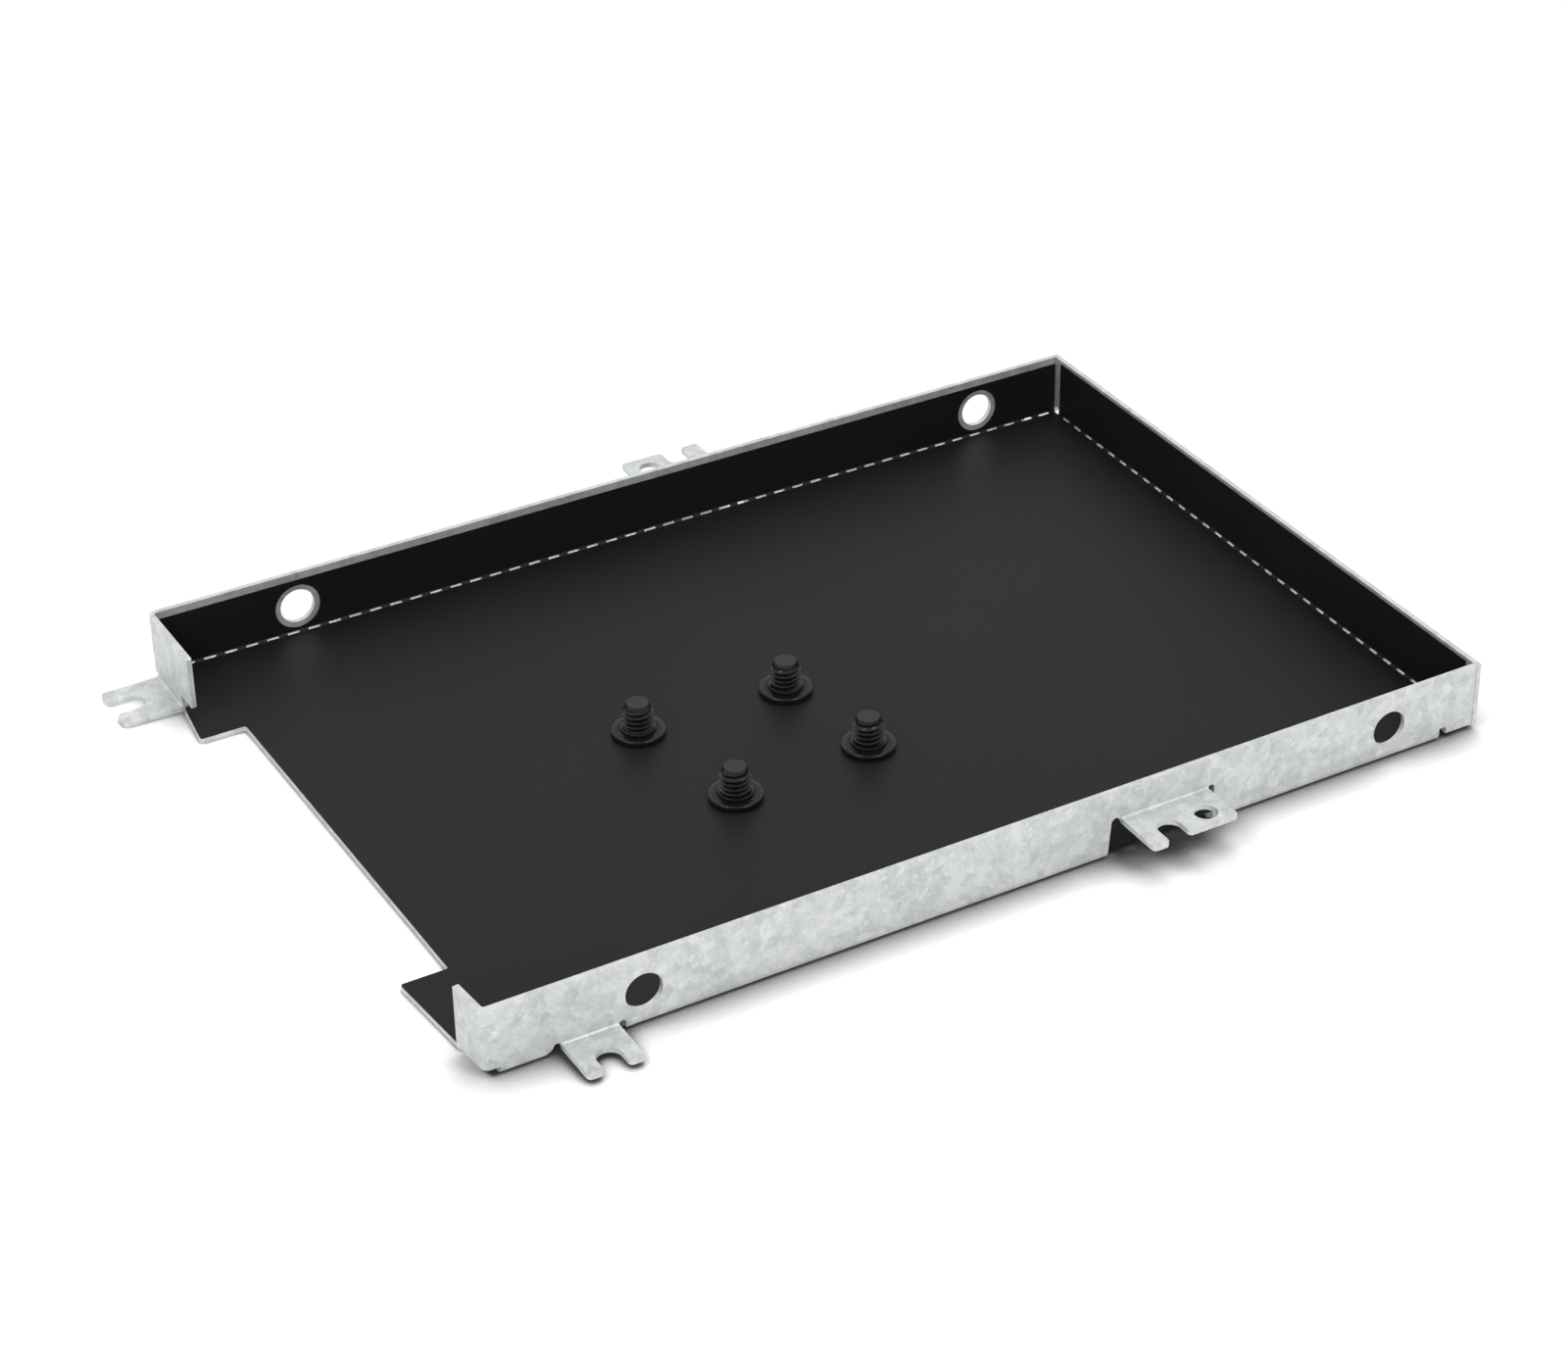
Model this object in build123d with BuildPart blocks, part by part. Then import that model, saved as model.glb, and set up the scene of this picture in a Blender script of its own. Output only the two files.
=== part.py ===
import os

from build123d import *

os.makedirs("parts", exist_ok=True)

# Drive that the tray holds: a 2.5 inch laptop drive, standard sizes
drive_width = 69.85
drive_hole_spacing = 76.6
drive_hole_from_connector = 14.0
drive_hole_from_far_end = 9.6
drive_length = drive_hole_from_connector + drive_hole_spacing + drive_hole_from_far_end

# Galvanised sheet and the film glued inside it
sheet = 0.5
bend_inner = 0.25
bend_outer = bend_inner + sheet
film = 0.1
drive_side_clearance = 0.175
drive_end_clearance = 0.1
connector_clearance = 0.2

# Overall form, with x = 0 midway between the drive holes and z = 0 the underside
wall_height = 7.0
half_width = drive_width / 2 + drive_side_clearance + film + sheet
drive_connector_end = -(drive_hole_spacing / 2 + drive_hole_from_connector)
flange_x = drive_connector_end - connector_clearance - sheet
end_x = drive_connector_end + drive_length + drive_end_clearance + film + sheet

# Drive holes in the long walls
drive_hole_diameter = 3.5
drive_hole_height = 3.4

# Open end: a wide notch in the floor between two tabs with slanted ends
notch_depth = 3.2
near_notch_edge = 21.05
far_notch_edge = 22.4
notch_corner_radius = 0.3
tab_reach = 0.75
tab_slant = 0.75
tab_corner_radius = 0.3
near_tab_outer = 31.0
far_tab_outer = 28.2
floor_relief_depth = 1.0

# End flanges, bent inward from the left ends of the long walls
near_flange_width = 4.4
near_flange_lean = 0.35
near_flange_lift = 0.9
far_flange_width = 9.7
far_flange_lift = 0.9
far_flange_free_lift = 1.7
flange_corner_radius = 0.2

# Corner at the closed end: the long walls butt against the end wall
corner_gap = 0.04
corner_lift = 0.6
corner_hole_diameter = 0.8
corner_hole_inset = 0.95
corner_hole_height = 0.85
corner_relief_width = 0.75
corner_relief_height = 1.3
corner_flap_length = 3.05
end_bend_setback = 1.4

# Ears: folded tabs with an open slot and, on the middle ones, a round hole for M2 screws
ear_slot_width = 2.3
ear_hole_diameter = 2.2
ear_corner_radius = 0.45
ear_root = 0.3

near_left_ear_x = -43.4
near_left_ear_width = 5.3
near_left_ear_length = 4.9
near_left_ear_top = 1.0
near_left_ear_slot_start = 2.3
near_left_window_depth = 5.0

near_middle_ear_left = 8.85
near_middle_ear_width = 9.3
near_middle_ear_length = 4.8
near_middle_prong_length = 5.2
near_middle_prong_width = 1.75
near_middle_ear_top = 3.9
near_middle_slot_start = 2.2
near_middle_hole_from_wall = 3.0
near_middle_hole_from_end = 2.35
near_middle_window_depth = 2.4

far_middle_ear_left = 0.6
far_middle_ear_width = 8.7
far_middle_ear_length = 7.4
far_middle_prong_width = 1.9
far_middle_ear_top = 3.9
far_middle_slot_start = 4.6
far_middle_hole_from_wall = 5.2
far_middle_hole_from_end = 2.2
far_middle_window_depth = 4.4

far_left_ear_y = 31.5
far_left_ear_width = 6.1
far_left_ear_length = 5.75
far_left_ear_slot_start = 2.5
far_left_ear_top = sheet

window_wide_relief = 1.0
window_narrow_relief = 0.7
window_relief_rise = 0.2
window_corner_radius = 0.4
near_left_window_splay = 1.0
near_middle_window_splay = 0.3
far_middle_window_splay = 0.3

# Film: floor and three flaps, joined by perforated folds
film_bend_clearance = 0.05
film_below_wall_top = 0.75
film_end_below_wall_top = 0.35
film_edge_inset = 0.05
film_hole_diameter = 4.6
film_corner_gap = 1.1
film_end_gap = 0.1
film_flange_clearance = 0.05
perforation_pitch = 2.14
perforation_length = 1.3
perforation_width = 0.22
perforation_margin = 1.6
long_perforation_from_end = 1.5
end_perforation_from_side = 2.55

# Four M3 drive screws with thin wide heads, standing on their heads on the film
screw_thread_diameter = 3.0
screw_thread_length = 2.8
screw_head_diameter = 5.1
screw_head_height = 0.6
screw_head_edge = 0.12
screw_tip_diameter = 2.1
screw_tip_length = 0.5
screw_collar_diameter = 3.3
screw_collar_height = 0.25
screw_recess_width = 0.75
screw_recess_span = 2.6
screw_recess_depth = 0.9
screw_recess_taper = 18
screw_places = [(-18.8, 2.6), (-3.6, 1.9), (-1.8, -10.3), (-16.2, -11.2)]

# Places that follow from the sizes above
floor_relief_x = flange_x + sheet + floor_relief_depth
channel_right = end_x - sheet - corner_flap_length - corner_relief_width
notch_x = flange_x + sheet + notch_depth
notch_width = near_notch_edge + far_notch_edge
notch_middle = (far_notch_edge - near_notch_edge) / 2
tab_tip_x = flange_x - tab_reach
wall_inner_y = half_width - sheet
end_inner_x = end_x - sheet
end_bend_half_width = half_width - end_bend_setback
hole_x = drive_hole_spacing / 2
film_top_z = wall_height - film_below_wall_top
film_end_top_z = wall_height - film_end_below_wall_top
film_seat_z = sheet + film
film_crease = bend_inner + film_bend_clearance
film_left = flange_x + sheet + bend_inner + film_flange_clearance
film_floor_right = end_inner_x - film_crease
film_flap_right = end_inner_x - film_end_gap
film_half_width = wall_inner_y - film_corner_gap
crease_middle = film_crease / 2 + film * 2**-0.5 / 2
perforation_cut = 2 * film
screw_head_top = film_seat_z + screw_head_height
screw_end = screw_head_top + screw_thread_length


def bent_section(plane, points, thickness, radius, side=Side.LEFT):
    """Closed section of a sheet bent along the points, which are its face on the outside of the bends."""
    with BuildSketch(plane) as section:
        with BuildLine():
            FilletPolyline(*points, radius=radius)
            offset(amount=thickness, side=side)
        make_face()
    return section.sketch


def creased_section(plane, points):
    """Closed section of the film along the points, its outer face, with a flat crease across each corner."""
    corners = [Vector(*point) for point in points]
    path = [corners[0]]
    for before, corner, after in zip(corners, corners[1:], corners[2:]):
        path.append(corner + (before - corner).normalized() * film_crease)
        path.append(corner + (after - corner).normalized() * film_crease)
    path.append(corners[-1])
    with BuildSketch(plane) as section:
        with BuildLine():
            Polyline(*path)
            offset(amount=film, side=Side.LEFT, kind=Kind.INTERSECTION)
        make_face()
    return section.sketch


def folded_ear(fold, width, length, top, slot_x, slot_start, prong_length=0):
    """Ear bent out of a wall. The fold plane lies on the wall's outer face, x along the fold, y inward."""
    reach = max(length, prong_length)
    section_plane = Plane(origin=fold.origin, x_dir=-fold.y_dir, z_dir=-fold.x_dir)
    section_points = [
        (-sheet, top + bend_inner + ear_root),
        (-sheet, top - sheet),
        (reach, top - sheet),
    ]
    section = bent_section(section_plane, section_points, sheet, bend_outer)
    slot_radius = ear_slot_width / 2
    with BuildPart() as ear:
        extrude(section, amount=width / 2, both=True)
        with BuildSketch(fold):
            with Locations((slot_x, -slot_start - slot_radius)):
                Circle(slot_radius)
                Rectangle(ear_slot_width, reach, align=(Align.CENTER, Align.MAX))
            if prong_length > length:
                with Locations((slot_x, -length)):
                    Rectangle(width, reach, align=(Align.MIN, Align.MAX))
        extrude(amount=top + sheet, mode=Mode.SUBTRACT)
        upright = ear.edges().filter_by(Axis.Z)
        tips = [edge for edge in upright if fold.to_local_coords(edge.center()).Y < -length + sheet]
        fillet(tips, ear_corner_radius)
    return ear.part


def ear_window(fold, width, top, depth, left_relief, right_relief, splay):
    """Opening that the ear was bent out of, through wall and floor edge, with a round relief each side."""
    elevation = Plane(origin=fold.origin, x_dir=fold.x_dir, z_dir=-fold.y_dir)
    window_top = top + bend_inner
    left = -width / 2 - left_relief
    right = width / 2 + right_relief
    left_middle = top + window_relief_rise - left_relief / 2
    right_middle = top + window_relief_rise - right_relief / 2
    with BuildSketch(elevation) as opening:
        with BuildLine():
            Polyline(
                (left - splay, 0),
                (right, 0),
                (right, right_middle),
                (width / 2, right_middle),
                (width / 2, window_top),
                (-width / 2, window_top),
                (-width / 2, left_middle),
                (left, left_middle),
                close=True,
            )
        make_face()
        Rectangle(2 * (right - left + splay), sheet, align=(Align.CENTER, Align.MAX))
    with BuildSketch(elevation) as rounded_opening:
        add(opening.sketch_local)
        lower_corners = vertices().filter_by_position(Axis.Y, -sheet / 2, sheet / 2).sort_by(Axis.X)[1:-1]
        fillet(lower_corners, window_corner_radius)
    with BuildPart() as window:
        extrude(opening.sketch, amount=-depth)
        extrude(rounded_opening.sketch, amount=-bend_outer)
        with BuildSketch(elevation):
            with Locations((left + left_relief / 2, left_middle)):
                Circle(left_relief / 2)
            with Locations((right - right_relief / 2, right_middle)):
                Circle(right_relief / 2)
        extrude(amount=-depth)
    return window.part


# Fold planes of the four ears
near_left_fold = Plane(origin=(near_left_ear_x, -half_width, 0), x_dir=(1, 0, 0), z_dir=(0, 0, 1))
near_middle_x = near_middle_ear_left + near_middle_ear_width / 2
near_middle_fold = Plane(origin=(near_middle_x, -half_width, 0), x_dir=(1, 0, 0), z_dir=(0, 0, 1))
far_middle_x = far_middle_ear_left + far_middle_ear_width / 2
far_middle_fold = Plane(origin=(far_middle_x, half_width, 0), x_dir=(-1, 0, 0), z_dir=(0, 0, 1))
far_left_fold = Plane(origin=(flange_x, far_left_ear_y, 0), x_dir=(0, -1, 0), z_dir=(0, 0, 1))

near_left_ear = folded_ear(
    near_left_fold,
    near_left_ear_width,
    near_left_ear_length,
    near_left_ear_top,
    slot_x=0,
    slot_start=near_left_ear_slot_start,
)
near_middle_slot_x = -near_middle_ear_width / 2 + near_middle_prong_width + ear_slot_width / 2
near_middle_ear = folded_ear(
    near_middle_fold,
    near_middle_ear_width,
    near_middle_ear_length,
    near_middle_ear_top,
    slot_x=near_middle_slot_x,
    slot_start=near_middle_slot_start,
    prong_length=near_middle_prong_length,
)
far_middle_slot_x = -far_middle_ear_width / 2 + far_middle_prong_width + ear_slot_width / 2
far_middle_ear = folded_ear(
    far_middle_fold,
    far_middle_ear_width,
    far_middle_ear_length,
    far_middle_ear_top,
    slot_x=far_middle_slot_x,
    slot_start=far_middle_slot_start,
)
far_left_ear = folded_ear(
    far_left_fold,
    far_left_ear_width,
    far_left_ear_length,
    far_left_ear_top,
    slot_x=0,
    slot_start=far_left_ear_slot_start,
)

# Sections of the bent sheet
channel_points = [
    (-half_width, wall_height),
    (-half_width, 0),
    (half_width, 0),
    (half_width, wall_height),
]
channel_section = bent_section(Plane.YZ.offset(floor_relief_x), channel_points, sheet, bend_outer)
end_points = [(channel_right - sheet, 0), (end_x, 0), (end_x, wall_height)]
end_section = bent_section(Plane.XZ, end_points, sheet, bend_outer)
near_flange_points = [
    (floor_relief_x, -half_width),
    (flange_x, -half_width),
    (flange_x - near_flange_lean, -half_width + near_flange_width),
]
near_flange_section = bent_section(
    Plane.XY.offset(near_flange_lift), near_flange_points, sheet, bend_outer, Side.RIGHT
)
far_flange_points = [
    (floor_relief_x, half_width),
    (flange_x, half_width),
    (flange_x, half_width - far_flange_width),
]
far_flange_section = bent_section(
    Plane.XY.offset(far_flange_lift), far_flange_points, sheet, bend_outer, Side.LEFT
)

# The folded sheet tray
with BuildPart() as tray:
    # Floor and long walls with their bends, then the end wall
    extrude(channel_section, amount=channel_right - floor_relief_x)
    extrude(end_section, amount=end_bend_half_width, both=True)
    with BuildSketch(Plane.YZ.offset(end_inner_x)):
        with Locations((0, corner_lift)):
            Rectangle(2 * half_width, wall_height - corner_lift, align=(Align.CENTER, Align.MIN))
    extrude(amount=sheet)

    # Long walls beyond their bends, up to the end wall
    for wall_plane, inward in ((Plane.XZ.offset(half_width), -sheet), (Plane.XZ.offset(-half_width), sheet)):
        with BuildSketch(wall_plane):
            with BuildLine():
                Polyline(
                    (channel_right, corner_relief_height),
                    (channel_right + corner_relief_width, corner_relief_height),
                    (channel_right + corner_relief_width, corner_lift),
                    (end_inner_x - corner_gap, corner_lift),
                    (end_inner_x - corner_gap, wall_height),
                    (channel_right, wall_height),
                    close=True,
                )
            make_face()
        extrude(amount=inward)

    # Round relief at each lower corner of the end wall
    with BuildSketch(Plane.YZ.offset(end_inner_x)):
        with Locations(
            (corner_hole_inset - half_width, corner_hole_height),
            (half_width - corner_hole_inset, corner_hole_height),
        ):
            Circle(corner_hole_diameter / 2)
    extrude(amount=sheet, mode=Mode.SUBTRACT)

    # End flanges, with the far one cut higher past its ear
    extrude(near_flange_section, amount=wall_height - near_flange_lift)
    extrude(far_flange_section, amount=wall_height - far_flange_lift)
    left_edges = edges().filter_by_position(Axis.X, flange_x - near_flange_lean - sheet, flange_x + sheet)
    across = [edge for edge in left_edges if abs(edge.length - sheet) < bend_outer / 100]
    free_tops = [edge for edge in across if edge.center().Z > wall_height - sheet]
    fillet(free_tops, flange_corner_radius)
    with BuildSketch(Plane.YZ.offset(flange_x)):
        with Locations((far_left_ear_y - far_left_ear_width / 2, 0)):
            Rectangle(far_flange_width, far_flange_free_lift, align=(Align.MAX, Align.MIN))
    extrude(amount=sheet, mode=Mode.SUBTRACT)

    # Floor at the open end: slanted tabs either side of the notch
    tab_edges = ((-near_notch_edge, -near_tab_outer), (far_notch_edge, far_tab_outer))
    for notch_edge, tab_outer in tab_edges:
        with BuildSketch():
            with BuildLine():
                Polyline(
                    (floor_relief_x, notch_edge),
                    (tab_tip_x, notch_edge),
                    (tab_tip_x + tab_slant, tab_outer),
                    (floor_relief_x, tab_outer),
                    close=True,
                )
            make_face()
            fillet(vertices().sort_by(Axis.X)[:2], tab_corner_radius)
        extrude(amount=sheet)
    with BuildSketch():
        with Locations((notch_x, notch_middle)):
            Rectangle(2 * notch_depth, notch_width, align=(Align.MAX, Align.CENTER))
        fillet(vertices().group_by(Axis.X)[-1], notch_corner_radius)
    extrude(amount=sheet, mode=Mode.SUBTRACT)

    # Ears, each in the window it was bent out of
    add(
        ear_window(
            near_left_fold,
            near_left_ear_width,
            near_left_ear_top,
            near_left_window_depth,
            window_narrow_relief,
            window_narrow_relief,
            near_left_window_splay,
        ),
        mode=Mode.SUBTRACT,
    )
    add(
        ear_window(
            near_middle_fold,
            near_middle_ear_width,
            near_middle_ear_top,
            near_middle_window_depth,
            window_wide_relief,
            window_narrow_relief,
            near_middle_window_splay,
        ),
        mode=Mode.SUBTRACT,
    )
    add(
        ear_window(
            far_middle_fold,
            far_middle_ear_width,
            far_middle_ear_top,
            far_middle_window_depth,
            window_wide_relief,
            window_narrow_relief,
            far_middle_window_splay,
        ),
        mode=Mode.SUBTRACT,
    )
    add([near_left_ear, near_middle_ear, far_middle_ear, far_left_ear])

    # Round holes of the middle ears and the four drive holes
    near_hole_x = near_middle_ear_left + near_middle_ear_width - near_middle_hole_from_end
    far_hole_x = far_middle_ear_left + far_middle_hole_from_end
    with BuildSketch():
        with Locations(
            (near_hole_x, -half_width - near_middle_hole_from_wall),
            (far_hole_x, half_width + far_middle_hole_from_wall),
        ):
            Circle(ear_hole_diameter / 2)
    extrude(amount=wall_height, mode=Mode.SUBTRACT)
    with BuildSketch(Plane.XZ):
        with Locations((-hole_x, drive_hole_height), (hole_x, drive_hole_height)):
            Circle(drive_hole_diameter / 2)
    extrude(amount=half_width + sheet, both=True, mode=Mode.SUBTRACT)
tray.part.label = "tray"
export_step(tray.part, "parts/tray.step")

# The insulating film
film_points = [
    (-wall_inner_y, film_top_z),
    (-wall_inner_y, sheet),
    (wall_inner_y, sheet),
    (wall_inner_y, film_top_z),
]
film_section = creased_section(Plane.YZ.offset(film_left), film_points)
film_end_points = [(film_floor_right - sheet, sheet), (end_inner_x, sheet), (end_inner_x, film_end_top_z)]
film_end_section = creased_section(Plane.XZ, film_end_points)
with BuildPart() as insulating_film:
    # Floor with the long flaps, cleared at the right for the end flap
    extrude(film_section, amount=film_flap_right - film_left)
    with BuildSketch(Plane.XY.offset(sheet)):
        with Locations((film_floor_right, 0)):
            Rectangle(film_crease, 2 * end_bend_half_width, align=(Align.MIN, Align.CENTER))
    extrude(amount=film, mode=Mode.SUBTRACT)
    extrude(film_end_section, amount=film_half_width, both=True)

    # Film on the floor tabs and the notch, set in a little from the metal edge
    for notch_edge, tab_outer in tab_edges:
        with BuildSketch(Plane.XY.offset(sheet)):
            with BuildLine():
                Polyline(
                    (floor_relief_x, notch_edge),
                    (tab_tip_x + film_edge_inset, notch_edge),
                    (tab_tip_x + tab_slant + film_edge_inset, tab_outer),
                    (floor_relief_x, tab_outer),
                    close=True,
                )
            make_face()
            fillet(vertices().sort_by(Axis.X)[:2], tab_corner_radius)
        extrude(amount=film)
    with BuildSketch(Plane.XY.offset(sheet)):
        with Locations((notch_x + film_edge_inset, notch_middle)):
            Rectangle(2 * notch_depth, notch_width + 2 * film_edge_inset, align=(Align.MAX, Align.CENTER))
        fillet(vertices().group_by(Axis.X)[-1], notch_corner_radius)
    extrude(amount=film, mode=Mode.SUBTRACT)

    # Clearance holes round the drive holes
    with BuildSketch(Plane.XZ):
        with Locations((-hole_x, drive_hole_height), (hole_x, drive_hole_height)):
            Circle(film_hole_diameter / 2)
    extrude(amount=half_width, both=True, mode=Mode.SUBTRACT)

    # Perforated creases: the long ones first, then the end one
    long_row_right = end_inner_x - long_perforation_from_end
    long_count = int((long_row_right - film_left - perforation_margin) / perforation_pitch) + 1
    long_centre = long_row_right - (long_count - 1) * perforation_pitch / 2
    for side in (-1, 1):
        with BuildSketch(Plane.YZ.offset(long_centre)):
            with Locations((side * (wall_inner_y - crease_middle), sheet + crease_middle)):
                Rectangle(perforation_width, perforation_cut, rotation=side * 45)
        slot_row = extrude(amount=perforation_length / 2, both=True, mode=Mode.PRIVATE)
        with GridLocations(perforation_pitch, 0, long_count, 1):
            add(slot_row, mode=Mode.SUBTRACT)
    end_row_far = wall_inner_y - end_perforation_from_side
    end_count = int((end_row_far + film_half_width - perforation_margin) / perforation_pitch) + 1
    end_centre = end_row_far - (end_count - 1) * perforation_pitch / 2
    with BuildSketch(Plane.XZ.offset(-end_centre)):
        with Locations((end_inner_x - crease_middle, sheet + crease_middle)):
            Rectangle(perforation_width, perforation_cut, rotation=45)
    end_slot = extrude(amount=perforation_length / 2, both=True, mode=Mode.PRIVATE)
    with GridLocations(0, perforation_pitch, 1, end_count):
        add(end_slot, mode=Mode.SUBTRACT)
insulating_film.part.label = "insulating_film"
export_step(insulating_film.part, "parts/insulating_film.step")

# One drive screw, standing on the flat of its head
with BuildPart() as screw:
    with BuildSketch(Plane.XZ):
        with BuildLine():
            Polyline(
                (0, film_seat_z),
                (screw_head_diameter / 2, film_seat_z),
                (screw_head_diameter / 2, screw_head_top),
                (screw_collar_diameter / 2, screw_head_top),
                (screw_collar_diameter / 2, screw_head_top + screw_collar_height),
                (screw_thread_diameter / 2, screw_head_top + screw_collar_height),
                (screw_thread_diameter / 2, screw_end - screw_tip_length),
                (screw_tip_diameter / 2, screw_end),
                (0, screw_end),
                close=True,
            )
        make_face()
        chamfer(vertices().group_by(Axis.X)[-1].sort_by(Axis.Y)[-1], screw_head_edge)
    revolve(axis=Axis.Z)

    # Cross recess in the flat of the head, narrowing with depth
    for recess_length, recess_breadth in (
        (screw_recess_span, screw_recess_width),
        (screw_recess_width, screw_recess_span),
    ):
        with BuildSketch(Plane.XY.offset(film_seat_z)):
            Rectangle(recess_length, recess_breadth)
        extrude(amount=screw_recess_depth, taper=screw_recess_taper, mode=Mode.SUBTRACT)

# The four screws, as separate pieces
with BuildPart() as drive_screws:
    with Locations(*screw_places):
        add(screw.part)
drive_screws.part.label = "drive_screws"
export_step(drive_screws.part, "parts/drive_screws.step")
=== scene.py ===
import math

import bmesh
import bpy
from mathutils import Matrix, Vector


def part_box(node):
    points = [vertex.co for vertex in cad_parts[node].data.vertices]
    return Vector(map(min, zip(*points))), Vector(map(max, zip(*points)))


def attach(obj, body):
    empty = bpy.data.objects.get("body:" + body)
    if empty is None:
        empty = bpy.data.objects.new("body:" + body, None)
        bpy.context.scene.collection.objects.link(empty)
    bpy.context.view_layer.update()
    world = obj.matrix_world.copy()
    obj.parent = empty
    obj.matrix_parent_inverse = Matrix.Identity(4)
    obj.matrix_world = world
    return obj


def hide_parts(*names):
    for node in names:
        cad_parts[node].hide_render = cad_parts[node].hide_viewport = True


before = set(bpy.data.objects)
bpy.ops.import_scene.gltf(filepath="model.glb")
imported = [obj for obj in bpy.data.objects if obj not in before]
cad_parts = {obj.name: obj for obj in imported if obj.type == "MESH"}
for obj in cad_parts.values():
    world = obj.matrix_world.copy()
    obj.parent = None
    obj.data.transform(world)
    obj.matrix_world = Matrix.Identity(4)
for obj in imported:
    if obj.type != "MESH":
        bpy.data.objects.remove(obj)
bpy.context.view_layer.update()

mm = 0.001  # one millimetre in metres
noiseSpan = (0.3, 0.7)  # the values that noise mostly takes
print("frame loaded:", sorted(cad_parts))


# Materials

def startMaterial(name):
    material = bpy.data.materials.new(name)
    material.use_nodes = True
    nodes = material.node_tree.nodes
    return material, nodes, material.node_tree.links, nodes["Principled BSDF"]


def addNoise(nodes, links, coordinates, size, detail, roughness=0.5):
    noise = nodes.new("ShaderNodeTexNoise")
    noise.inputs["Scale"].default_value = 1 / size
    noise.inputs["Detail"].default_value = detail
    noise.inputs["Roughness"].default_value = roughness
    links.new(coordinates, noise.inputs["Vector"])
    return noise


def addRange(nodes, links, value, low, high, fromLow=0.0, fromHigh=1.0):
    mapRange = nodes.new("ShaderNodeMapRange")
    mapRange.inputs["From Min"].default_value = fromLow
    mapRange.inputs["From Max"].default_value = fromHigh
    mapRange.inputs["To Min"].default_value = low
    mapRange.inputs["To Max"].default_value = high
    links.new(value, mapRange.inputs["Value"])
    return mapRange.outputs["Result"]


def addMath(nodes, links, operation, first, second):
    node = nodes.new("ShaderNodeMath")
    node.operation = operation
    links.new(first, node.inputs[0])
    links.new(second, node.inputs[1])
    return node.outputs["Value"]


def addBump(nodes, links, height, distance, strength):
    bump = nodes.new("ShaderNodeBump")
    bump.inputs["Strength"].default_value = strength
    bump.inputs["Distance"].default_value = distance
    links.new(height, bump.inputs["Height"])
    return bump.outputs["Normal"]


zincLook = {
    "dark": (0.49, 0.51, 0.515, 1),
    "light": (0.81, 0.825, 0.82, 1),
    "spangleSize": 1.0 * mm,
    "spangleDrift": 0.8 * mm,
    "spangleShare": 0.4,
    "mottleSize": 0.9 * mm,
    "mottleShare": 0.45,
    "cloudSize": 7 * mm,
    "cloudShare": 0.15,
    "speckSize": 0.4 * mm,
    "speckShare": 0.5,
    "speckSpan": (0.62, 0.8),
    "grainSize": 0.16 * mm,
    "grainHeight": 0.01 * mm,
    "grainStrength": 0.25,
    "roughLow": 0.46,
    "roughHigh": 0.60,
    "metallic": 0.65,
}


def makeZinc():
    material, nodes, links, shader = startMaterial("galvanisedSteel")
    coordinates = nodes.new("ShaderNodeTexCoord").outputs["Object"]
    drift = addNoise(nodes, links, coordinates, zincLook["spangleSize"], 4, 0.6)
    centred = nodes.new("ShaderNodeVectorMath")  # bends the edges of the spangles
    centred.operation = "MULTIPLY_ADD"
    links.new(drift.outputs["Color"], centred.inputs[0])
    centred.inputs[1].default_value = (zincLook["spangleDrift"],) * 3
    links.new(coordinates, centred.inputs[2])
    spangle = nodes.new("ShaderNodeTexVoronoi")
    spangle.inputs["Scale"].default_value = 1 / zincLook["spangleSize"]
    links.new(centred.outputs["Vector"], spangle.inputs["Vector"])
    shade = nodes.new("ShaderNodeSeparateColor")
    links.new(spangle.outputs["Color"], shade.inputs["Color"])
    mottle = addNoise(nodes, links, coordinates, zincLook["mottleSize"], 5, 0.65)
    cloud = addNoise(nodes, links, coordinates, zincLook["cloudSize"], 3)
    speck = addNoise(nodes, links, coordinates, zincLook["speckSize"], 1)
    total = addRange(nodes, links, shade.outputs["Red"], 0, zincLook["spangleShare"])
    for noise, share, low, high in (
        (mottle, zincLook["mottleShare"], *noiseSpan),
        (cloud, zincLook["cloudShare"], *noiseSpan),
        (speck, zincLook["speckShare"], *zincLook["speckSpan"]),
    ):
        part = addRange(nodes, links, noise.outputs["Fac"], 0, share, low, high)
        total = addMath(nodes, links, "ADD", total, part)
    colour = nodes.new("ShaderNodeMix")
    colour.data_type = "RGBA"
    colour.inputs["A"].default_value = zincLook["dark"]
    colour.inputs["B"].default_value = zincLook["light"]
    links.new(total, colour.inputs["Factor"])
    links.new(colour.outputs["Result"], shader.inputs["Base Color"])
    rough = addRange(nodes, links, shade.outputs["Green"], zincLook["roughLow"], zincLook["roughHigh"])
    links.new(rough, shader.inputs["Roughness"])
    grain = addNoise(nodes, links, coordinates, zincLook["grainSize"], 2)
    bump = addBump(nodes, links, grain.outputs["Fac"], zincLook["grainHeight"], zincLook["grainStrength"])
    links.new(bump, shader.inputs["Normal"])
    shader.inputs["Metallic"].default_value = zincLook["metallic"]
    return material


filmLook = {
    "dark": (0.010, 0.010, 0.0105, 1),
    "light": (0.0145, 0.0145, 0.015, 1),
    "cloudSize": 30 * mm,
    "grainSize": 0.22 * mm,
    "grainHeight": 0.02 * mm,
    "grainStrength": 0.5,
    "roughLow": 0.40,
    "roughHigh": 0.50,
    "shine": 0.115,
}


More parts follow.
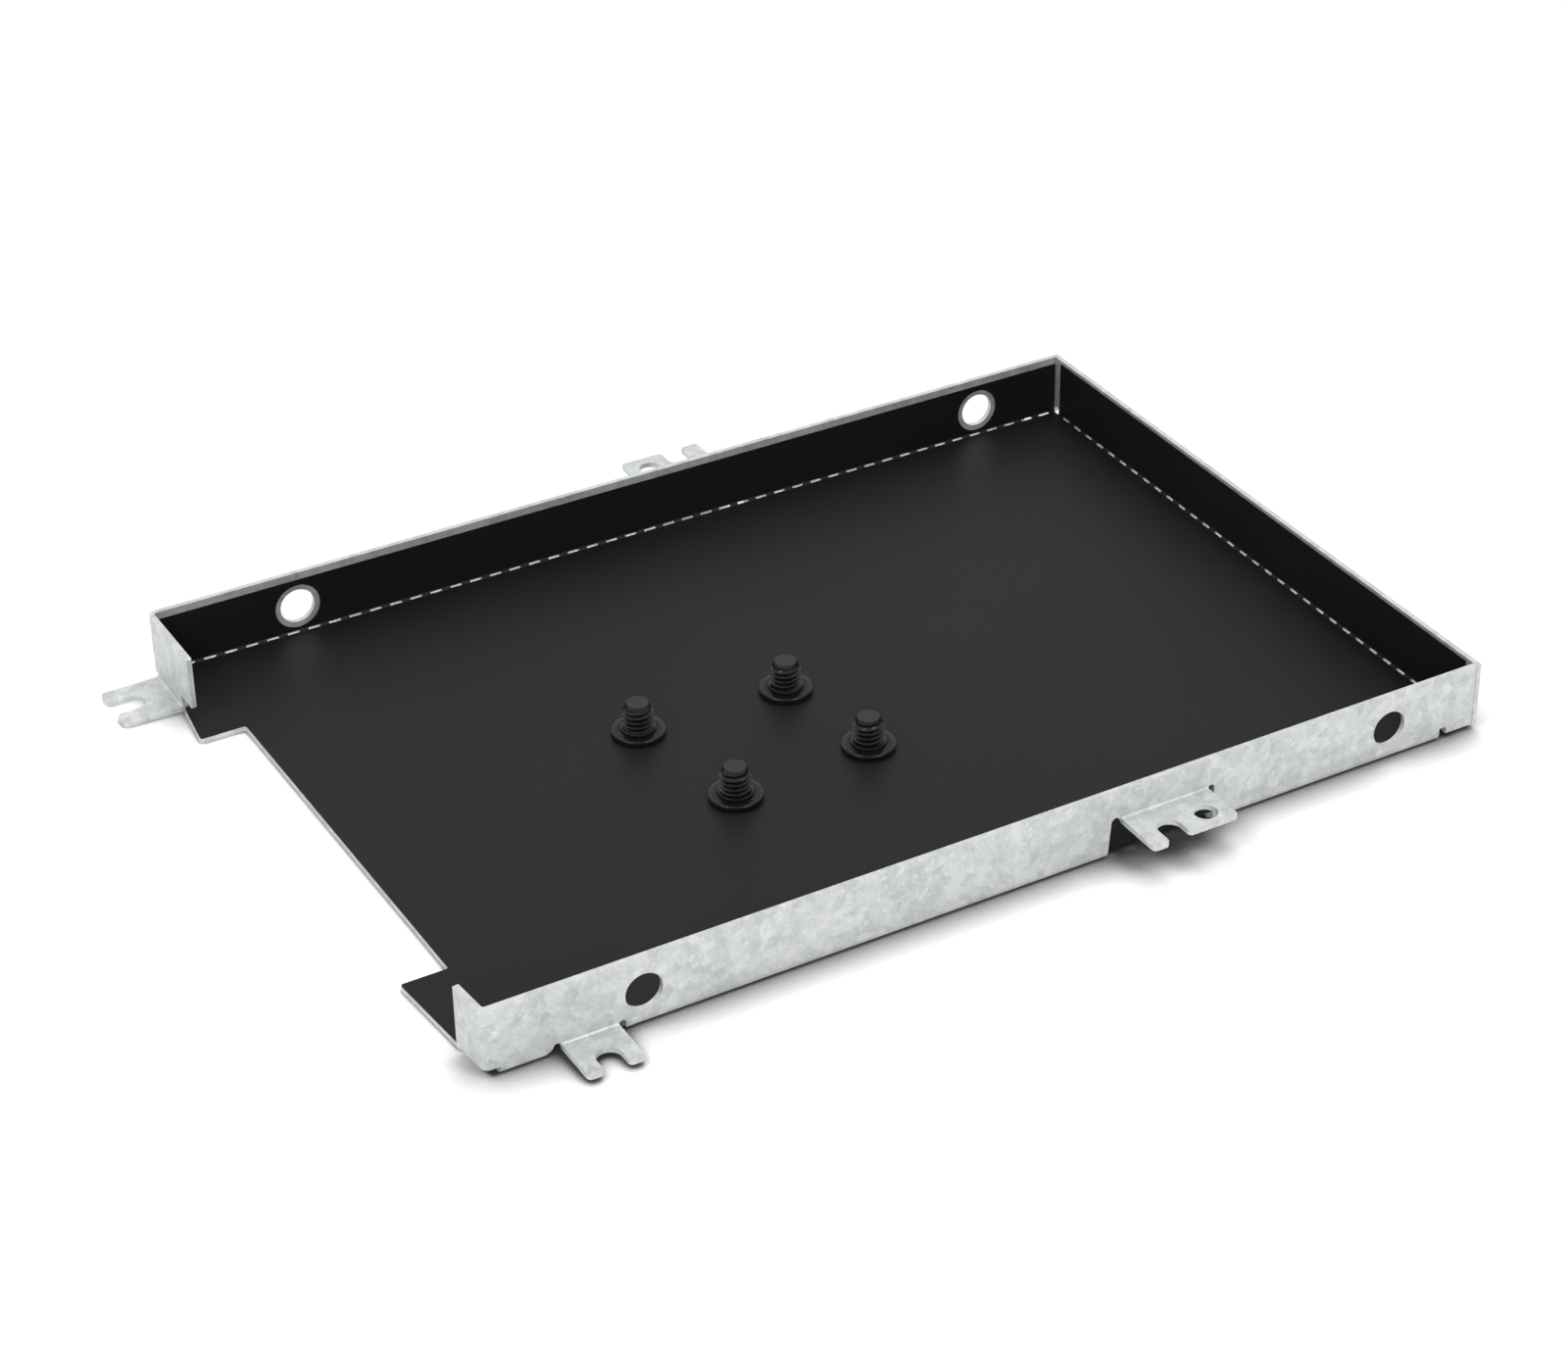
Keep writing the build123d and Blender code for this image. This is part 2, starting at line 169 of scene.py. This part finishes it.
def makeFilm():
    material, nodes, links, shader = startMaterial("matteBlackFilm")
    coordinates = nodes.new("ShaderNodeTexCoord").outputs["Object"]
    cloud = addNoise(nodes, links, coordinates, filmLook["cloudSize"], 5, 0.6)
    colour = nodes.new("ShaderNodeMix")
    colour.data_type = "RGBA"
    colour.inputs["A"].default_value = filmLook["dark"]
    colour.inputs["B"].default_value = filmLook["light"]
    links.new(cloud.outputs["Fac"], colour.inputs["Factor"])
    links.new(colour.outputs["Result"], shader.inputs["Base Color"])
    rough = addRange(
        nodes, links, cloud.outputs["Fac"], filmLook["roughLow"], filmLook["roughHigh"], *noiseSpan
    )
    links.new(rough, shader.inputs["Roughness"])
    grain = addNoise(nodes, links, coordinates, filmLook["grainSize"], 2)
    bump = addBump(nodes, links, grain.outputs["Fac"], filmLook["grainHeight"], filmLook["grainStrength"])
    links.new(bump, shader.inputs["Normal"])
    shader.inputs["Specular IOR Level"].default_value = filmLook["shine"]
    return material


screwLook = {
    "dark": (0.006, 0.006, 0.006, 1),
    "light": (0.014, 0.014, 0.014, 1),
    "grainSize": 0.3 * mm,
    "roughLow": 0.20,
    "roughHigh": 0.30,
    "shine": 0.27,
}


def makeScrewBlack():
    material, nodes, links, shader = startMaterial("blackScrewSteel")
    coordinates = nodes.new("ShaderNodeTexCoord").outputs["Object"]
    grain = addNoise(nodes, links, coordinates, screwLook["grainSize"], 3)
    colour = nodes.new("ShaderNodeMix")
    colour.data_type = "RGBA"
    colour.inputs["A"].default_value = screwLook["dark"]
    colour.inputs["B"].default_value = screwLook["light"]
    links.new(grain.outputs["Fac"], colour.inputs["Factor"])
    links.new(colour.outputs["Result"], shader.inputs["Base Color"])
    rough = addRange(
        nodes, links, grain.outputs["Fac"], screwLook["roughLow"], screwLook["roughHigh"], *noiseSpan
    )
    links.new(rough, shader.inputs["Roughness"])
    shader.inputs["Specular IOR Level"].default_value = screwLook["shine"]
    return material


zinc = makeZinc()
blackFilm = makeFilm()
screwBlack = makeScrewBlack()
print("materials made")

for nodeName, material in (("tray", zinc), ("insulating_film", blackFilm)):
    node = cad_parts[nodeName]
    node.data.materials.clear()
    node.data.materials.append(material)
    print("finish on", nodeName)


# Drive screws with cut threads

screwSizes = {
    "places": (
        (-18.8 * mm, 2.6 * mm), (-3.6 * mm, 1.9 * mm), (-1.8 * mm, -10.3 * mm), (-16.2 * mm, -11.2 * mm),
    ),
    "turns": (20, 75, 130, 200),
    "headDiameter": 5.1 * mm,
    "headHeight": 0.6 * mm,
    "headEdge": 0.14 * mm,
    "collarDiameter": 3.3 * mm,
    "collarHeight": 0.25 * mm,
    "collarEdge": 0.1 * mm,
    "crestDiameter": 2.92 * mm,
    "rootDiameter": 2.42 * mm,
    "pitch": 0.5 * mm,
    "crestFlat": 0.12,
    "rootFlat": 0.22,
    "threadLength": 2.8 * mm,
    "tipDiameter": 2.1 * mm,
    "tipLength": 0.8 * mm,
    "recessSpan": 2.6 * mm,
    "recessWidth": 0.75 * mm,
    "recessDepth": 0.9 * mm,
    "recessTaper": 18,
    "steps": 56,
    "sharpAngle": 20,
}
mergeDistance = 0.001 * mm


def spinProfile(bm, points, steps):
    verts = [bm.verts.new((radius, 0, z)) for radius, z in points]
    edges = [bm.edges.new(pair) for pair in zip(verts, verts[1:])]
    bmesh.ops.spin(
        bm, geom=verts + edges, cent=(0, 0, 0), axis=(0, 0, 1), angle=math.tau, steps=steps, use_merge=True
    )
    bmesh.ops.remove_doubles(bm, verts=bm.verts, dist=mergeDistance)
    bmesh.ops.recalc_face_normals(bm, faces=bm.faces)


def makeHead(sizes):
    bm = bmesh.new()
    headRadius = sizes["headDiameter"] / 2
    collarRadius = sizes["collarDiameter"] / 2
    headTop = sizes["headHeight"]
    collarTop = headTop + sizes["collarHeight"]
    points = [(0, 0), (headRadius, 0), (headRadius, headTop), (collarRadius, headTop)]
    points += [(collarRadius, collarTop), (0, collarTop)]
    spinProfile(bm, points, sizes["steps"])
    rim = [
        e for e in bm.edges
        if abs(math.hypot(*e.verts[0].co.xy) - headRadius) < mergeDistance
        and abs(e.verts[0].co.z - e.verts[1].co.z) < mergeDistance
        and len(e.link_faces) == 2
    ]
    bmesh.ops.bevel(
        bm, geom=rim, offset=sizes["headEdge"], segments=3, profile=0.5, affect="EDGES", material=-1
    )
    collarRim = [
        e for e in bm.edges
        if all(abs(math.hypot(*v.co.xy) - collarRadius) < mergeDistance for v in e.verts)
        and all(abs(v.co.z - collarTop) < mergeDistance for v in e.verts)
    ]
    bmesh.ops.bevel(
        bm, geom=collarRim, offset=sizes["collarEdge"], segments=2, profile=0.5, affect="EDGES", material=-1
    )
    return bm


def makeThread(sizes):
    bm = bmesh.new()
    crest = sizes["crestDiameter"] / 2
    root = sizes["rootDiameter"] / 2
    pitch = sizes["pitch"]
    low = sizes["headHeight"] + sizes["collarHeight"] / 2
    high = sizes["headHeight"] + sizes["threadLength"]
    flank = (1 - sizes["crestFlat"] - sizes["rootFlat"]) / 2
    turn = ((root, 0), (root, sizes["rootFlat"]), (crest, sizes["rootFlat"] + flank), (crest, 1 - flank))
    turnCount = math.ceil((high - low) / pitch) + 3
    points = [(r, low + (k - 2 + share) * pitch) for k in range(turnCount) for r, share in turn]
    verts = [bm.verts.new((radius, 0, z)) for radius, z in points]
    edges = [bm.edges.new(pair) for pair in zip(verts, verts[1:])]
    bmesh.ops.spin(
        bm, geom=verts + edges, cent=(0, 0, 0), axis=(0, 0, 1), angle=math.tau,
        steps=sizes["steps"], dvec=(0, 0, pitch / sizes["steps"]), use_merge=False,
    )
    bmesh.ops.remove_doubles(bm, verts=bm.verts, dist=mergeDistance)
    for height, clearAbove in ((low, False), (high, True)):
        bmesh.ops.bisect_plane(
            bm, geom=bm.verts[:] + bm.edges[:] + bm.faces[:], plane_co=(0, 0, height), plane_no=(0, 0, 1),
            clear_outer=clearAbove, clear_inner=not clearAbove, dist=mergeDistance / 10,
        )
        openEdges = [e for e in bm.edges if e.is_boundary]
        openEdges = [e for e in openEdges if all(abs(v.co.z - height) < mergeDistance for v in e.verts)]
        bmesh.ops.edgeloop_fill(bm, edges=openEdges)
    tip = sizes["tipDiameter"] / 2
    for vert in bm.verts:  # chamfer at the thread's end
        below = high - vert.co.z
        limit = tip + (crest - tip) * below / sizes["tipLength"]
        radius = math.hypot(*vert.co.xy)
        if radius > limit:
            vert.co.x *= limit / radius
            vert.co.y *= limit / radius
    bmesh.ops.recalc_face_normals(bm, faces=bm.faces)
    return bm


def makeRecessCutter(sizes):
    bm = bmesh.new()
    shrink = 2 * sizes["recessDepth"] * math.tan(math.radians(sizes["recessTaper"]))
    for vert in bmesh.ops.create_cube(bm, size=1)["verts"]:  # narrows upwards
        change = -shrink if vert.co.z > 0 else shrink
        vert.co.x *= sizes["recessSpan"] + change
        vert.co.y *= sizes["recessWidth"] + change
        vert.co.z *= 2 * sizes["recessDepth"]
    return bm


def asObject(bm, name):
    mesh = bpy.data.meshes.new(name)
    bm.to_mesh(mesh)
    bm.free()
    made = bpy.data.objects.new(name, mesh)
    bpy.context.scene.collection.objects.link(made)
    return made


def combine(body, other, operation):
    modifier = body.modifiers.new("combine", "BOOLEAN")
    modifier.operation = operation
    modifier.object = other
    modifier.solver = "EXACT"
    depsgraph = bpy.context.evaluated_depsgraph_get()
    combined = bpy.data.meshes.new_from_object(body.evaluated_get(depsgraph))
    body.modifiers.clear()
    body.data = combined
    bpy.data.objects.remove(other)


def makeDriveScrews():
    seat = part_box("drive_screws")[0].z
    body = asObject(makeHead(screwSizes), "screwBody")
    combine(body, asObject(makeThread(screwSizes), "screwThread"), "UNION")
    for number in range(2):
        cutter = asObject(makeRecessCutter(screwSizes), "recessCutter")
        cutter.rotation_euler.z = number * math.pi / 2
        combine(body, cutter, "DIFFERENCE")
    for number, (place, turn) in enumerate(zip(screwSizes["places"], screwSizes["turns"]), 1):
        bm = bmesh.new()
        bm.from_mesh(body.data)
        bmesh.ops.dissolve_degenerate(bm, dist=mergeDistance / 2, edges=bm.edges)  # slivers left by the cuts
        rotation = Matrix.Rotation(math.radians(turn), 3, "Z")
        bmesh.ops.rotate(bm, verts=bm.verts, cent=(0, 0, 0), matrix=rotation)
        bmesh.ops.translate(bm, verts=bm.verts, vec=(place[0], place[1], seat))
        for face in bm.faces:
            face.smooth = True
        screw = asObject(bm, f"driveScrew{number}")
        screw.data.set_sharp_from_angle(angle=math.radians(screwSizes["sharpAngle"]))
        screw.data.materials.append(screwBlack)
        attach(screw, "root")
        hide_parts("drive_screws")
        print("screw", number, "made with", len(screw.data.polygons), "faces")
    bpy.data.objects.remove(body)


makeDriveScrews()


# Floor, light and camera

stageLook = {
    "halfWidth": 1.5,
    "floorColour": (0.95, 0.95, 0.95, 1),
    "floorRoughness": 0.9,
    # painted shade beside the object: its dark colour, the occlusion reach, samples and range that set it,
    # its least openness in mirrored views, and where it ends behind the far wall
    "paintedShadeColour": (0.10, 0.085, 0.085, 1),
    "contactReach": 6.2 * mm,
    "contactSamples": 8,
    "contactRange": (0.37, 0.82),
    "contactMirrored": 0.68,
    "contactEnd": (28 * mm, 34 * mm),
    "floorLift": 0.15,
    "ambient": 0.15,
}


def makeFloor():
    bm = bmesh.new()
    bmesh.ops.create_grid(bm, x_segments=1, y_segments=1, size=stageLook["halfWidth"])
    mesh = bpy.data.meshes.new("floor")
    bm.to_mesh(mesh)
    bm.free()
    floor = bpy.data.objects.new("floor", mesh)
    bpy.context.scene.collection.objects.link(floor)
    material, nodes, links, shader = startMaterial("paleFloor")
    rays = nodes.new("ShaderNodeLightPath")
    paintedShadeOcclusion = nodes.new("ShaderNodeAmbientOcclusion")  # painted shade: darkens the floor's colour right beside and under the object
    paintedShadeOcclusion.samples = stageLook["contactSamples"]
    paintedShadeOcclusion.inputs["Distance"].default_value = stageLook["contactReach"]
    place = nodes.new("ShaderNodeSeparateXYZ")
    links.new(nodes.new("ShaderNodeTexCoord").outputs["Object"], place.inputs["Vector"])
    openness = addRange(nodes, links, paintedShadeOcclusion.outputs["AO"], 0, 1, *stageLook["contactRange"])
    for lighter in (  # painted shade kept lighter in mirrored views, and left off on the floor behind the perforated fold
        addRange(nodes, links, rays.outputs["Is Camera Ray"], stageLook["contactMirrored"], 0),
        addRange(nodes, links, place.outputs["Y"], 0, 1, *stageLook["contactEnd"]),
    ):
        openness = addMath(nodes, links, "MAXIMUM", openness, lighter)
    colour = nodes.new("ShaderNodeMix")
    colour.data_type = "RGBA"
    colour.inputs["A"].default_value = stageLook["paintedShadeColour"]
    colour.inputs["B"].default_value = stageLook["floorColour"]
    links.new(openness, colour.inputs["Factor"])
    links.new(colour.outputs["Result"], shader.inputs["Base Color"])
    shader.inputs["Roughness"].default_value = stageLook["floorRoughness"]
    shader.inputs["Specular IOR Level"].default_value = 0
    shader.inputs["Emission Color"].default_value = (1, 1, 1, 1)
    # the white lift is dimmed by the same painted shade
    lift = addMath(nodes, links, "MULTIPLY", addSeenDirectly(nodes, links, rays), openness)
    links.new(addRange(nodes, links, lift, 0, stageLook["floorLift"]), shader.inputs["Emission Strength"])
    mesh.materials.append(material)


def addSeenDirectly(nodes, links, rays):
    total = rays.outputs["Is Camera Ray"]  # rays that show the background itself
    for name in ("Is Glossy Ray", "Is Transmission Ray"):
        total = addMath(nodes, links, "MAXIMUM", total, rays.outputs[name])
    return total


def makeWorld():
    world = bpy.data.worlds.new("paleStudio")
    world.use_nodes = True
    nodes = world.node_tree.nodes
    links = world.node_tree.links
    background = nodes["Background"]
    background.inputs["Color"].default_value = (1, 1, 1, 1)
    rays = nodes.new("ShaderNodeLightPath")
    seen = addSeenDirectly(nodes, links, rays)
    links.new(addRange(nodes, links, seen, stageLook["ambient"], 1.0), background.inputs["Strength"])
    bpy.context.scene.world = world


lamps = {
    "key": {
        "azimuth": 148, "elevation": 70, "distance": 1.1, "size": 1.0, "level": 0.6, "mirrored": False,
    },
    "front": {
        "azimuth": -32, "elevation": 20, "distance": 0.8, "size": 0.4, "level": 0.08, "mirrored": False,
    },
    "sideLeft": {
        "azimuth": -85, "elevation": 52, "distance": 0.7, "size": 0.2, "level": 0.15, "mirrored": True,
    },
    "sideRight": {
        "azimuth": 22, "elevation": 52, "distance": 0.7, "size": 0.2, "level": 0.15, "mirrored": True,
    },
}


def addLamp(name, azimuth, elevation, distance, size, level, mirrored):
    light = bpy.data.lights.new(name, "AREA")
    light.shape = "DISK"
    light.size = size
    a = math.radians(azimuth)
    e = math.radians(elevation)
    outward = Vector((math.sin(a) * math.cos(e), -math.cos(a) * math.cos(e), math.sin(e)))
    light.energy = level * (math.pi * distance) ** 2 / math.sin(e)  # level 1 lights a white floor fully
    lamp = bpy.data.objects.new(name, light)
    lamp.location = outward * distance
    lamp.rotation_euler = outward.to_track_quat("Z", "Y").to_euler()
    lamp.visible_glossy = mirrored
    bpy.context.scene.collection.objects.link(lamp)


cameraView = {
    "azimuth": -31.688,
    "elevation": 32.586,
    "roll": 0.407,
    "distance": 356.298 * mm,
    "target": (9.019 * mm, -3.576 * mm, 0),
    "focalPixels": 3854.4,
    "axisPixelX": 950,
    "frameWidthPixels": 1600,
    "sensorWidth": 36,
}


def addCamera():
    data = bpy.data.cameras.new("camera")
    data.sensor_width = cameraView["sensorWidth"]
    data.lens = cameraView["focalPixels"] / cameraView["frameWidthPixels"] * data.sensor_width
    data.shift_x = 0.5 - cameraView["axisPixelX"] / cameraView["frameWidthPixels"]
    data.clip_start = 0.01
    a = math.radians(cameraView["azimuth"])
    e = math.radians(cameraView["elevation"])
    r = math.radians(cameraView["roll"])
    back = Vector((math.sin(a) * math.cos(e), -math.cos(a) * math.cos(e), math.sin(e)))
    right = Vector((math.cos(a), math.sin(a), 0))
    up = back.cross(right)
    turnedRight = right * math.cos(r) + up * math.sin(r)
    turnedUp = up * math.cos(r) - right * math.sin(r)
    place = Matrix((turnedRight, turnedUp, back)).transposed().to_4x4()
    place.translation = Vector(cameraView["target"]) + back * cameraView["distance"]
    camera = bpy.data.objects.new("camera", data)
    camera.matrix_world = place
    bpy.context.scene.collection.objects.link(camera)
    bpy.context.scene.camera = camera


makeFloor()
makeWorld()
for lampName, lampValues in lamps.items():
    addLamp(lampName, **lampValues)
addCamera()
bpy.context.scene.view_settings.view_transform = "Standard"
print("floor, light and camera placed")
